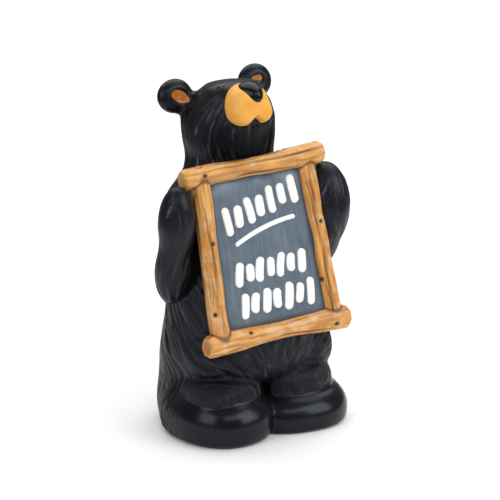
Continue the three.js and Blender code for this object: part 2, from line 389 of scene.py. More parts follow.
def furFall(p):                              # which way the strands fall, before they lie on the surface
    x, y, z = p.T
    side = np.sign(x) + (x == 0)
    flow = np.tile((0.0, 0.0, -1.0), (len(p), 1))
    hips = ramp(z, 110, 60) * ramp(np.abs(x), 10, 30) * ramp(y, 30, 10) * ramp(z, 22, 42)
    flow[:, 1] -= 0.7 * hips                 # swept forward over the haunches
    flow[:, 0] -= 0.5 * side * hips * ramp(y, 4, -18)
    front = ramp(-y, 6, 20)
    flow[:, 0] -= front * ramp(z, 84, 60) * ramp(z, 22, 30) * x / 26    # gathered under the belly
    throat = ramp(z, 108, 116) * ramp(-z, -156, -138)
    flow[:, 0] -= throat * 0.6 * np.clip(x / 15, -1, 1) * ramp(-y, -14, 4)
    knee = np.stack([29 * side, -16 + 0 * x, 27 + 0 * x], 1)    # strands curl round the knees' outsides
    arc = np.cross(np.array((0.0, 1.0, 0.0)), p - knee)
    arc /= np.maximum(np.linalg.norm(arc, axis=1), 1)[:, None]
    arc *= -np.sign(arc[:, 2:3] + 1e-9)
    shin = np.maximum(*[nearness(p, shape, 3) for shape in bear["shins"]]) * ramp(-y, 4, 16)
    shin = (shin * ramp(-z, -28, -24) * np.where(x > 0, 1, 0.35))[:, None]    # strongest on its left
    flow = flow * (1 - shin) + arc * shin
    arms = ramp(np.abs(x), 36, 39) * ramp(z, 66, 72) * ramp(-z, -135, -130)
    flow[:, 0] += 0.4 * side * arms * ramp(-y, -2, 10)
    flow[:, 1] += 0.4 * arms
    cheeks = ramp(z, 146, 160)
    flow[:, 0] += 0.35 * cheeks * np.clip(x / 18, -1, 1)
    flow[:, 1] += 0.35 * cheeks
    return flow


def furFlow(p, normal):                      # the fall laid onto the surface, of length 1
    flow = furFall(p)
    flow -= normal * (flow * normal).sum(1)[:, None]
    return flow / np.maximum(np.linalg.norm(flow, axis=1), 1e-6)[:, None]


def combedPlaces(p):
    # where each point's strand passes a fixed height, so that fine strands can be drawn along the fur
    q = p.copy()
    low, arms, high = fur["combHeights"]
    onArm = np.min([massField(p, arm, arm["sides"][0]) for arm in bear["arms"]], axis=0) < fur["armReach"]
    level = np.where(onArm, arms, np.where(p[:, 2] > (low + high) / 2, high, low))
    for step in range(fur["combSteps"]):
        flow = furFall(q)
        run = (level - q[:, 2]) / (fur["combSteps"] - step)
        q += flow / np.minimum(flow[:, 2:3], -0.35) * run[:, None]
        q[:, 2] += run - run * (flow[:, 2] / np.minimum(flow[:, 2], -0.35))
    return np.stack([q[:, 0], q[:, 1], 0.13 * p[:, 2]], 1)


def strokeStarts(p, normal, weight, layer, draw):
    # random places that keep their spacing, and fewer where the weight is low
    picks = draw.choice(len(p), layer["tries"], replace=False)
    picks = picks[draw.random(len(picks)) < weight[picks]]
    across, along = layer["spacing"]
    flow = furFlow(p[picks], normal[picks])
    kept, keptFlow, index = np.empty((len(picks), 3)), np.empty((len(picks), 3)), []
    for i, here, direction in zip(picks, p[picks], flow):
        n = len(index)
        gap = here - kept[:n]
        run = (gap * keptFlow[:n]).sum(1)
        off = (gap * gap).sum(1) - run * run
        if not ((off < across * across) & (np.abs(run) < along)).any():
            kept[n], keptFlow[n] = here, direction
            index.append(i)
    return np.array(index)


def strokeLines(p, starts, lengths):         # each stroke follows the flow down from its start
    here = p[starts]
    line = [here]
    for _ in range(fur["steps"]):
        _, n = fieldNormal(here, bearField)
        here = here + furFlow(here, n) * (lengths / fur["steps"])[:, None]
        here = settled(here, bearField, 1)
        line.append(here)
    return np.stack(line, 1)


def cellKeys(p):
    return np.floor(p / fur["cell"]).astype(int)


def cellCodes(keys):                         # one whole number for each cube, all within 100 of the middle
    x, y, z = np.moveaxis(keys + 100, -1, 0)
    return (x * 256 + y) * 256 + z


def cellsOf(p):                              # points sorted into cubes, to find near ones fast
    code = cellCodes(cellKeys(p))
    order = np.argsort(code, kind="stable")
    values, first = np.unique(code[order], return_index=True)
    return dict(zip(values.tolist(), np.split(order, first[1:])))


def strokeShares(p, lines, widths, cells):
    # for each stroke: the points near it, how far off its line in widths, and how far along it
    near = np.array([(a, b, c) for a in (-1, 0, 1) for b in (-1, 0, 1) for c in (-1, 0, 1)])
    for line, width in zip(lines, widths):
        codes = np.unique(cellCodes(cellKeys(line)[:, None, :] + near))
        points = np.concatenate([cells[code] for code in codes.tolist() if code in cells])
        q = p[points]
        inside = ((q > line.min(0) - 3 * width) & (q < line.max(0) + 3 * width)).all(1)
        points, q = points[inside], q[inside]
        a, b = line[:-1], line[1:]
        ab = b - a
        t = ((q[:, None] - a) * ab).sum(2) / np.maximum((ab * ab).sum(1), 1e-9)
        t = np.clip(t, 0, 1)
        off = np.linalg.norm(q[:, None] - a - t[..., None] * ab, axis=2)
        best = off.argmin(1)
        rows = np.arange(len(q))
        off = off[rows, best] / width
        share = (best + t[rows, best]) / len(ab)
        close = off < fur["reach"]
        yield points[close], off[close], share[close]


def strokesOf(p, normal, amount, layer, draw):
    starts = strokeStarts(p, normal, amount, layer, draw)
    lengths = draw.uniform(*layer["length"], len(starts))
    lengths *= 1 - 0.4 * ramp(-p[starts, 1], 18, 26) * ramp(p[starts, 2], 26, 36)
    lines = strokeLines(p, starts, lengths)
    widths = draw.uniform(*layer["width"], len(starts))
    return lines, widths


def carvedDepths(p, normal, amount, cells, draw):    # how far each point moves in or out
    carved = np.zeros(len(p))
    for layer in fur["layers"]:
        lines, widths = strokesOf(p, normal, amount, layer, draw)
        depths = draw.uniform(*layer["depth"], len(lines))
        for depth, (points, off, share) in zip(depths, strokeShares(p, lines, widths, cells)):
            taper = np.sin(math.pi * share) ** 0.7
            # a groove with a low ridge along each side
            carved[points] -= depth * taper * (1 - 0.9 * off * off) * np.exp(-off * off)
        report(f"fur, {len(lines)} strokes,")
    return fur["deepest"] * np.tanh(carved / fur["deepest"]) * amount


def dryBrushing(p, normal, brushed, cells, draw):    # how much grey paint each point caught
    lines, widths = strokesOf(p, normal, brushed, fur["paint"], draw)
    strength = draw.uniform(0.1, 1, len(lines)) ** 3
    dry = np.zeros(len(p))
    for strong, (points, off, share) in zip(strength, strokeShares(p, lines, widths, cells)):
        paint = strong * np.sin(math.pi * share) ** 0.5 * np.exp(-off * off)
        dry[points] = np.maximum(dry[points], paint)
    report(f"dry brushing, {len(lines)} strokes,")
    return dry * brushed


def carveFur(body):
    mesh = body.data
    p, normal = meshPoints(mesh), meshNormals(mesh)
    amount = furAmount(p)
    cells = cellsOf(p)
    draw = np.random.default_rng(fur["seed"])
    carved = carvedDepths(p, normal, amount, cells, draw)

    # less paint was dragged over the legs and more round the low neck;
    # the throat under the muzzle is left almost without grey as painted shade
    _, y, z = p.T
    throat = ramp(-y, -6, 4) * ramp(z, 133, 140) * ramp(-z, -158, -150)
    collar = ramp(z, 112, 118) * ramp(-z, -162, -140) * ramp(-y, -24, -4)
    brushed = amount * (0.5 + 0.4 * ramp(z, 36, 66)) * (1 - 0.85 * throat) * (1 + 2.6 * collar)
    dry = dryBrushing(p, normal, brushed, cells, draw)

    # what the paint goes by; ear is the distance from the painted hollows, and flat is the throat
    ear = np.min([massField(p, hollow, hollow["sides"][0]) for hollow in bear["hollows"]], axis=0)
    setAttribute(mesh, "carved", carved)
    setAttribute(mesh, "dry", dry)
    setAttribute(mesh, "ear", ear)
    setAttribute(mesh, "gloss", (1 - np.clip(amount, 0, 1)) * (1 - 0.6 * ramp(z, 90, 130)))
    setAttribute(mesh, "flat", throat)
    setAttribute(mesh, "strand", combedPlaces(p))
    setAttribute(mesh, "furry", np.clip(amount, 0, 1.3) * (1 - 0.5 * throat))
    setPoints(mesh, p + normal * carved[:, None])
    triangles = 2 * len(mesh.polygons)
    if triangles > bear["mostTriangles"]:
        applied(body, "DECIMATE", ratio=bear["mostTriangles"] / triangles)
    report(f"bear of {sum(len(f.vertices) - 2 for f in body.data.polygons)} triangles")


face = {
    "muzzle": {"at": (-0.4, -2.3, 166), "radii": (11.1, 11.4, 9.6), "turn": (-16, 0, 0)},
    "lip": {"at": (4.9, -3.9, 161.2), "radii": (7.4, 9.3, 6.4), "blend": 3.5},
    # the notch between the lips
    "cleft": {"at": (0, -12.5, 155.6), "radii": (4.4, 9, 5.4), "square": 1.3, "blend": 1},
    "voxel": 0.4,
    "nose": {
        "pad": {"at": (0, -5, 172), "radii": (6.6, 6.4, 5)},
        "tip": {"at": (0, -11.1, 170.4), "radii": (2.9, 3, 3.2), "blend": 5},
    },
    "eye": {"at": (10, 4.9, 171), "radius": 1.9, "sunk": 0.35},
}


def muzzleField(p):
    f = massField(p, face["muzzle"])
    for side in (1, -1):
        f = smoothMin(f, massField(p, face["lip"], side), face["lip"]["blend"])
    return smoothMax(f, -massField(p, face["cleft"]), face["cleft"]["blend"])


def noseField(p):
    pad, tip = face["nose"].values()
    return smoothMin(massField(p, pad), massField(p, tip), tip["blend"])


def buildCast(name, field, *placements):     # a rounded form from one or more overlapping ellipsoids
    bm = bmesh.new()
    for place in placements:
        bmesh.ops.create_icosphere(bm, subdivisions=5, radius=1, matrix=place)
    piece = objectOf(bm, name)
    mesh = remeshed(piece, face["voxel"])
    setPoints(mesh, settled(meshPoints(mesh), field, 5))
    return piece


def buildEye(side):
    eye = face["eye"]
    bm = bmesh.new()
    bmesh.ops.create_icosphere(bm, subdivisions=4, radius=eye["radius"])
    piece = objectOf(bm, "eye_left" if side > 0 else "eye_right")
    spot = settled(np.array([eye["at"]]) * (side, 1, 1), bearField, 8)
    _, out = fieldNormal(spot, bearField)
    setPoints(piece.data, meshPoints(piece.data) + spot[0] - out[0] * eye["sunk"])
    return piece


logs = {
    # left and right are as seen from the front: runs is how far a rail runs to the left and to the right,
    # gap is from the board's edge to the middle of a stile, radii and lift are at even steps along a log,
    # and lift bends the rails up and the stiles to the left
    "top": {"runs": (42, 40.3), "up": 41, "radii": (4.9, 5.1, 4.8, 4.6, 4.8, 5.5, 5.9),
            "lift": (-0.8, -0.5, -0.1, 0, 0.1, 0.4, 1.2)},
    "bottom": {"runs": (42.2, 41.4), "up": -41.4, "radii": (5.4, 5.6, 5, 4.3, 4.4, 5.3, 6.5),
               "lift": (-1.5, -0.8, -0.3, -0.4, -0.6, -0.4, -0.1)},
    "left": {"gap": 4.7, "radii": (5.1, 5, 4.7, 4.7, 5, 5.2, 4.3),
             "lift": (0, 0.2, -0.2, 0.2, 0.1, -0.3, -0.4)},
    "right": {"gap": 4.3, "radii": (4.6, 4.4, 4.3, 4.2, 4.4, 4.9, 4.3),
              "lift": (0, 0.2, 0.3, -0.1, 0, -0.3, -0.5)},
    "endRound": 1.2,
    "rings": 48, "sides": 48,
    "voxel": 0.42,
    "facets": 0.07,                          # the peeled trunk's flats, as a share of its radius
    "seed": 3,
    "grooves": 34, "grooveWidth": (0.3, 0.7), "grooveDepth": (0.12, 0.5),
    "deepest": 0.7,                          # grooves that cross go no deeper than this
    "washedDepth": 0.6,                      # the brown wash fills a groove of this depth
    "cupDepth": 1.3, "cupRadius": 5.2,       # the bottom rail's left end is hollowed
    "knotWidth": 1.45, "knotDepth": 1.1, "knotRim": 0.35,
    # knots: which log, how far along it from -1 to 1, and how far round from its front in degrees
    "knots": [("top", -0.73, 4), ("left", 0.18, -8), ("right", 0.2, -6), ("bottom", -0.42, 30),
              ("bottom", 0.78, -28), ("left", -0.66, 42), ("top", 0.45, 100), ("right", -0.5, 70)],
    "grainRadius": 4.5, "grainStep": 100,    # the grain runs round this radius, and each log has its own
}


def logAxes():                               # where each log's middle is, its direction and half its length
    axes = {}
    top, bottom = logs["top"]["up"], logs["bottom"]["up"]
    for name in ("top", "bottom"):
        left, right = logs[name]["runs"]
        middle = ((right - left) / 2, logs[name]["up"], 0)
        axes[name] = {**logs[name], "middle": middle, "along": (1, 0, 0), "half": (left + right) / 2}
    for name, side in (("left", -1), ("right", 1)):
        lower = side * (sign["bottomHalf"] + logs[name]["gap"]) + sign["skew"]
        upper = side * (sign["topHalf"] + logs[name]["gap"]) - sign["skew"]
        lean = math.atan((upper - lower) / sign["boardHeight"])
        middle = ((upper + lower) / 2, (top + bottom) / 2, 0)
        along = (math.sin(lean), math.cos(lean), 0)
        axes[name] = {**logs[name], "middle": middle, "along": along, "half": (top - bottom) / 2}
    return axes


def easedAlong(t, values):                   # values at even steps from -1 to 1, eased into each other
    fine = np.linspace(-1, 1, 121)
    kernel = np.hanning(31)
    padded = np.pad(np.interp(fine, np.linspace(-1, 1, len(values)), values), 15, "edge")
    return np.interp(t, fine, np.convolve(padded, kernel / kernel.sum(), "valid"))


def logPlace(axis):                          # a log's own space, its length along z and its front along y
    z, y = Vector(axis["along"]), Vector((0, 0, 1))
    x = y.cross(z)
    return Matrix.Translation(axis["middle"]) @ Matrix((x, y, z)).transposed().to_4x4()


def unevenness(angle, t, seed):              # slow swellings, and flats as on a trunk peeled by hand
    slow = 0.034 * np.sin(2 * angle - 5 * t + seed) + 0.03 * np.sin(3 * angle + 4.6 * t + 2 * seed)
    slow += 0.02 * np.sin(angle + 11 * t + 3 * seed)
    turn = (angle + 0.5 * np.sin(2.2 * t + seed)) * 4
    flats = logs["facets"] * (np.abs(np.cos(turn)) - 0.6)
    return 1 + slow - flats


def buildLog(bm, axis, seed):                # a disc is drawn out ring by ring, then shaped
    half = axis["half"]
    count = logs["rings"]
    made = bmesh.ops.create_circle(bm, cap_ends=True, segments=logs["sides"], radius=1)["verts"]
    end = made[0].link_faces[0]
    own = set(made)
    bmesh.ops.translate(bm, verts=made, vec=(0, 0, -1))
    for step in range(count):
        grown = bmesh.ops.extrude_face_region(bm, geom=[end])["geom"]
        if step:
            bmesh.ops.delete(bm, geom=[end], context="FACES_ONLY")
        end = next(g for g in grown if isinstance(g, bmesh.types.BMFace))
        bmesh.ops.translate(bm, verts=end.verts, vec=(0, 0, 2 / count))
        own.update(end.verts)
    own = list(own)
    p = np.array([v.co[:] for v in own])
    t, angle = p[:, 2], np.arctan2(p[:, 0], p[:, 1])
    inset = np.clip(logs["endRound"] - (1 - np.abs(t)) * half, 0, logs["endRound"])
    rounding = logs["endRound"] - np.sqrt(logs["endRound"] ** 2 - inset ** 2)
    r = (easedAlong(t, axis["radii"]) - rounding) * unevenness(angle, t, seed)
    across = easedAlong(t, axis["lift"])
    place = logPlace(axis)
    for v, a, radius, shift, height in zip(own, angle, r, across, t):
        v.co = place @ Vector((radius * math.sin(a) + shift, radius * math.cos(a), height * half))


def logCoordinates(p, axis):
    # angle round the log, share along it, length along it, distance off in radii, distance from its middle
    back = np.array(logPlace(axis).inverted())
    q = p @ back[:3, :3].T + back[:3, 3]
    t = q[:, 2] / axis["half"]
    q[:, 0] -= easedAlong(t, axis["lift"])
    reach = np.hypot(q[:, 0], q[:, 1])
    off = reach / easedAlong(t, axis["radii"]) + 6 * np.clip(np.abs(t) - 1, 0, None)
    return np.arctan2(q[:, 0], q[:, 1]), t, q[:, 2], off, reach


def grooveMoves(owner, t, angle, axes):      # the long wandering grooves of each log
    draw = np.random.default_rng(logs["seed"])
    move = np.zeros(len(t))
    for k, axis in enumerate(axes.values()):
        mine = owner == k
        here, around, girth = t[mine], angle[mine], easedAlong(t[mine], axis["radii"])
        for _ in range(logs["grooves"]):
            start, turn = draw.uniform(-math.pi, math.pi), draw.uniform(0, 6)
            sway, pace = draw.uniform(0.04, 0.2), draw.uniform(2, 6)
            middle, long = draw.uniform(-0.9, 0.9), draw.uniform(0.2, 0.8)
            path = start + sway * np.sin(pace * here + turn) + 0.05 * np.sin(13 * here + turn)
            gap = (around - path + math.pi) % (2 * math.pi) - math.pi
            aside = gap * girth / draw.uniform(*logs["grooveWidth"])
            taper = np.clip(1 - ((here - middle) / long) ** 2, 0, 1)
            move[mine] -= draw.uniform(*logs["grooveDepth"]) * taper * np.exp(-aside * aside)
    return logs["deepest"] * np.tanh(move / logs["deepest"])


def sinkKnots(move, owner, z, angle, axes):  # adds the knots to the moves, and says where they are
    knot = np.zeros(len(move))
    for name, along, degrees in logs["knots"]:
        mine = owner == list(axes).index(name)
        half, girth = axes[name]["half"], easedAlong(along, axes[name]["radii"])
        aside = np.hypot(z[mine] - along * half, (angle[mine] - math.radians(degrees)) * girth)
        aside /= logs["knotWidth"]
        move[mine] += logs["knotRim"] * np.exp(-((aside - 1.4) / 0.5) ** 2)
        move[mine] -= logs["knotDepth"] * np.exp(-1.6 * aside ** 2)
        knot[mine] = np.maximum(knot[mine], np.exp(-1.1 * aside ** 2))
    return knot


def buildLogFrame():
    bm = bmesh.new()
    axes = logAxes()
    for seed, axis in enumerate(axes.values()):
        buildLog(bm, axis, seed)
    bmesh.ops.recalc_face_normals(bm, faces=bm.faces)
    piece = objectOf(bm, "log_frame")
    mesh = remeshed(piece, logs["voxel"])
    p, normal = meshPoints(mesh), meshNormals(mesh)

    # each point belongs to the log that it is nearest to, and a joint is where two are as near
    coordinates = np.array([logCoordinates(p, axis) for axis in axes.values()])
    off = coordinates[:, 3]
    owner = off.argmin(0)
    order = np.sort(off, axis=0)
    joint = 1 - ramp(order[1] - order[0], 0.0, 0.3)
    angle, t, z, _, reach = coordinates[owner, :, np.arange(len(p))].T
    end = ramp(np.abs(t), 0.965, 1.0)        # the sawn ends

    move = grooveMoves(owner, t, angle, axes) * (1 - end)
    groove = np.clip(-move / logs["washedDepth"], 0, 1)
    knot = sinkKnots(move, owner, z, angle, axes)
    hollowed = (owner == list(axes).index("bottom")) * ramp(-t, 0.975, 0.995)
    cup = hollowed * np.clip(1 - (reach / logs["cupRadius"]) ** 2, 0, 1)
    move -= logs["cupDepth"] * cup
    around = np.stack([np.sin(angle), np.cos(angle)], 1) * logs["grainRadius"]
    setAttribute(mesh, "groove", groove)
    setAttribute(mesh, "knot", knot)
    setAttribute(mesh, "joint", joint)
    setAttribute(mesh, "cut", end)
    setAttribute(mesh, "cup", cup)
    setAttribute(mesh, "reach", reach)
    setAttribute(mesh, "grain", np.column_stack([around, z + logs["grainStep"] * owner]))
    setPoints(mesh, p + normal * move[:, None])
    mesh.transform(Matrix.Translation(sign["at"]) @ signTurn.to_4x4())
    report(f"log frame of {2 * len(mesh.polygons)} triangles")
    return piece


board = {
    "tuck": 3.2,                             # how far the board runs in under the logs
    "thickness": 3,
    "columns": 130, "rows": 170,
    "swell": 0.5, "swellWidth": 1.5,         # the face rises a little where it meets the logs
    "corner": 5,                             # how widely that rise turns the corners
}


def buildBoard():
    bm = bmesh.new()
    bmesh.ops.create_grid(bm, x_segments=board["columns"], y_segments=board["rows"], size=1)
    piece = objectOf(bm, "slate_board")
    p = meshPoints(piece.data)
    half = sign["boardHeight"] / 2 + board["tuck"]
    taper = (sign["topHalf"] - sign["bottomHalf"]) * (p[:, 1] + 1) / 2
    width = sign["bottomHalf"] + taper + board["tuck"]
    u = p[:, 0] * width - sign["skew"] * p[:, 1]
    v = p[:, 1] * half
    # distance in from the logs
    inU = width * (1 - np.abs(p[:, 0])) - board["tuck"]
    inV = half - np.abs(v) - board["tuck"]
    edge = smoothMin(inU, inV, board["corner"])
    swell = board["swell"] * np.exp(-np.clip(edge, 0, None) / board["swellWidth"])
    # shallow furrows that a wide brush left from top to bottom
    brushed = 0.05 * np.sin(u * 1.9 + 0.6 * np.sin(v * 0.11))
    brushed += 0.04 * np.sin(u * 4.3 + 1.3 + 0.4 * np.sin(v * 0.2))
    setPoints(piece.data, np.stack([u, v, swell + brushed * ramp(edge, 0.5, 3)], 1))
    setAttribute(piece.data, "edge", edge)
    setAttribute(piece.data, "up", v / half)
    mesh = applied(piece, "SOLIDIFY", thickness=board["thickness"], offset=-1)
    mesh.transform(Matrix.Translation(sign["at"]) @ signTurn.to_4x4())
    report("board")
    return piece


strokes = {
    "raise": 0.6, "sink": 0.5,               # above the board's face, and into it
    # each row: its left end, its rise in degrees, how far it runs, its height, and how many marks it has
    "rows": [
        {"at": (-19.5, 16), "rise": 15, "run": 40, "height": 14.5, "marks": 7},
        {"at": (-17, -10.6), "rise": 1.5, "run": 37, "height": 13, "marks": 7},
        {"at": (-16.5, -26.4), "rise": 1.5, "run": 39, "height": 13.5, "marks": 7},
    ],
    "width": 5.1,
    "shorter": 0.76,                         # every second mark's height, as a share of the others'
    "underline": {"at": (1.5, 8.4), "length": 38, "width": 2.7, "rise": 14, "sag": -1.8},
    "lean": 80,                              # degrees from level at which the marks stand
    "voxel": 0.22,
    "seed": 21,
}


def addDab(bm, at, length, width, slant, sag=0.0):
    # a bar with round ends, drawn out from a short cylinder and cut across so that it can sag
    depth = strokes["raise"] + strokes["sink"]
    made = bmesh.ops.create_cone(bm, cap_ends=True, segments=24, radius1=width / 2,
                                 radius2=width / 2 - 0.3, depth=depth)["verts"]
    bmesh.ops.translate(bm, verts=made, vec=(0, 0, (strokes["raise"] - strokes["sink"]) / 2))
    pull = max(length - width, 0) / 2
    for direction in (1, -1):
        ends = [v for v in made if v.co.x * direction > 1e-4]
        bmesh.ops.translate(bm, verts=ends, vec=(pull * direction, 0, 0))
    for n in range(1, 8):
        geom = list({g for v in made for g in (v, *v.link_edges, *v.link_faces)})
        cut = bmesh.ops.bisect_plane(bm, geom=geom, plane_co=(pull * (n / 4 - 1), 0, 0), plane_no=(1, 0, 0))
        new = {g for g in cut["geom_cut"] if isinstance(g, bmesh.types.BMVert)}
        made = list({v for v in made if v.is_valid} | new)
    for v in made:
        v.co.y -= sag * (1 - (2 * v.co.x / length) ** 2)
    bmesh.ops.rotate(bm, verts=made, cent=(0, 0, 0), matrix=Matrix.Rotation(math.radians(slant), 3, "Z"))
    bmesh.ops.translate(bm, verts=made, vec=(*at, 0))


def buildStrokes():
    bm = bmesh.new()
    draw = np.random.default_rng(strokes["seed"])
    for row in strokes["rows"]:
        step = row["run"] / (row["marks"] - 1)
        rise = math.tan(math.radians(row["rise"]))
        for k in range(row["marks"]):
            tall = row["height"] * (1, strokes["shorter"])[k % 2] * draw.uniform(0.94, 1.06)
            x = row["at"][0] + k * step
            y = row["at"][1] + rise * k * step + draw.uniform(-0.4, 0.4)
            lean = strokes["lean"] + row["rise"] + draw.uniform(-5, 5)
            wide = strokes["width"] * draw.uniform(0.92, 1.05)
            addDab(bm, (x, y), tall, wide, lean, draw.uniform(-0.5, 0.5))
    line = strokes["underline"]
    addDab(bm, line["at"], line["length"], line["width"], line["rise"], line["sag"])
    piece = objectOf(bm, "white_strokes")
    remeshed(piece, strokes["voxel"])
    mesh = applied(piece, "SMOOTH", factor=0.5, iterations=6)
    mesh.transform(Matrix.Translation(sign["at"]) @ signTurn.to_4x4())
    report(f"strokes of {2 * len(mesh.polygons)} triangles")
    return piece


def linear(hexColour):                       # an sRGB hex colour as the linear one that a shader needs
    parts = [int(hexColour[i:i + 2], 16) / 255 for i in (1, 3, 5)]
    return [*(c / 12.92 if c <= 0.04045 else ((c + 0.055) / 1.055) ** 2.4 for c in parts), 1]


def addNode(tree, kind, inputs=None, output=0, **settings):
    # inputs are given by name or number: each is a value, or another node's output to link; a MapRange's
    # 1 to 4 are the ends of its two ranges, and a colour Mix takes 6 and 7 and gives 2
    node = tree.nodes.new("ShaderNode" + kind)
    for key, value in settings.items():
        setattr(node, key, value)
    for key, value in (inputs or {}).items():
        if isinstance(value, bpy.types.NodeSocket):
            tree.links.new(value, node.inputs[key])
        else:
            node.inputs[key].default_value = value
    return node.outputs[output]


def newMaterial(name, **sockets):
    material = bpy.data.materials.new(name)
    material.use_nodes = True
    shader = material.node_tree.nodes["Principled BSDF"]
    for key, value in sockets.items():
        shader.inputs[key].default_value = value
    return material, material.node_tree, shader


def blackPaint():
    # charcoal acrylic under a satin sealer: nearly black in the grooves as painted shade, greyer where a dry
    # brush caught the strands, glossiest on the smooth feet, and flatter on the throat; its reflections are
    # cool, and the strand places are already in millimetres
    material, tree, shader = newMaterial("sealed_black_acrylic", IOR=1.355)
    shader.inputs["Specular Tint"].default_value = linear("#e6edff")
    place = addNode(tree, "TexCoord", output="Object")
    cloud = addNode(tree, "TexNoise", {"Vector": place, "Scale": 1 / (14 * mm), "Detail": 3})
    strand = addNode(tree, "Attribute", output="Vector", attribute_name="strand")
    hair = addNode(tree, "TexNoise", {"Vector": strand, "Scale": 1 / 1.3, "Detail": 2, "Roughness": 0.6})
    furry = addNode(tree, "Attribute", output="Fac", attribute_name="furry")
    thick = addNode(tree, "MapRange", {"Value": cloud, 1: 0.35, 2: 0.68})
    colour = addNode(tree, "Mix", {0: thick, 6: linear("#0b0c0e"), 7: linear("#121417")}, 2, data_type="RGBA")
    dry = addNode(tree, "Attribute", output="Fac", attribute_name="dry")
    broken = addNode(tree, "MapRange", {"Value": hair, 1: 0.35, 2: 0.6, 3: 0.1, 4: 0.75})
    brushed = addNode(tree, "Math", {0: dry, 1: broken}, operation="MULTIPLY")
    colour = addNode(tree, "Mix", {0: brushed, 6: colour, 7: linear("#6c7078")}, 2, data_type="RGBA")
    carved = addNode(tree, "Attribute", output="Fac", attribute_name="carved")
    # painted shade: the carved grooves are darkened towards a deeper black
    grooveShade = addNode(tree, "MapRange", {"Value": carved, 1: -0.1, 2: -0.6, 4: 0.8})
    colour = addNode(tree, "Mix", {0: grooveShade, 6: colour, 7: linear("#050506")}, 2, data_type="RGBA")

    # the ears are lined with orange, which is browner where it went on thinly
    glow = addNode(tree, "TexNoise", {"Vector": place, "Scale": 1 / (4 * mm), "Detail": 2})
    worn = addNode(tree, "MapRange", {"Value": glow, 1: 0.35, 2: 0.65})
    orange = addNode(tree, "Mix", {0: worn, 6: linear("#b26a2c"), 7: linear("#da9343")}, 2, data_type="RGBA")
    ear = addNode(tree, "Attribute", output="Fac", attribute_name="ear")
    inside = addNode(tree, "MapRange", {"Value": ear, 1: 0.42, 2: 0.2})
    colour = addNode(tree, "Mix", {0: inside, 6: colour, 7: orange}, 2, data_type="RGBA")
    tree.links.new(colour, shader.inputs["Base Color"])

    gloss = addNode(tree, "Attribute", output="Fac", attribute_name="gloss")
    sheen = addNode(tree, "MapRange", {"Value": gloss, 3: 0.4, 4: 0.24})
    tree.links.new(sheen, shader.inputs["Roughness"])
    flat = addNode(tree, "Attribute", output="Fac", attribute_name="flat")
    sealed = addNode(tree, "MapRange", {"Value": flat, 3: 0.5, 4: 0.16})
    tree.links.new(sealed, shader.inputs["Specular IOR Level"])
    combed = addNode(tree, "Math", {0: hair, 1: furry}, operation="MULTIPLY")
    bump = addNode(tree, "Bump", {"Height": combed, "Distance": 0.9 * mm, "Strength": 0.5})
    tree.links.new(bump, shader.inputs["Normal"])
    return material


def glossBlack(name, roughness, ior):
    # the same black under a thick coat of clear varnish, so it takes small bright highlights
    material, tree, shader = newMaterial(name, Roughness=roughness, IOR=ior)
    place = addNode(tree, "TexCoord", output="Object")
    cloud = addNode(tree, "TexNoise", {"Vector": place, "Scale": 1 / (3 * mm), "Detail": 2})
    colour = addNode(tree, "Mix", {0: cloud, 6: linear("#0b0b0e"), 7: linear("#17181d")}, 2, data_type="RGBA")
    tree.links.new(colour, shader.inputs["Base Color"])
    bump = addNode(tree, "Bump", {"Height": cloud, "Distance": 0.1 * mm, "Strength": 0.25})
    tree.links.new(bump, shader.inputs["Normal"])
    return material


def muzzlePaint():
    # light orange-tan acrylic, satin, mottled a little by the brush
    material, tree, shader = newMaterial("tan_acrylic", Roughness=0.42, IOR=1.45)
    place = addNode(tree, "TexCoord", output="Object")
    cloud = addNode(tree, "TexNoise", {"Vector": place, "Scale": 1 / (7 * mm), "Detail": 3})
    thick = addNode(tree, "MapRange", {"Value": cloud, 1: 0.35, 2: 0.65})
    colour = addNode(tree, "Mix", {0: thick, 6: linear("#f2a941"), 7: linear("#fcba57")}, 2, data_type="RGBA")
    tree.links.new(colour, shader.inputs["Base Color"])
    brush = addNode(tree, "TexNoise", {"Vector": place, "Scale": 1 / (0.9 * mm), "Detail": 2})
    bump = addNode(tree, "Bump", {"Height": brush, "Distance": 0.1 * mm, "Strength": 0.3})
    tree.links.new(bump, shader.inputs["Normal"])
    return material


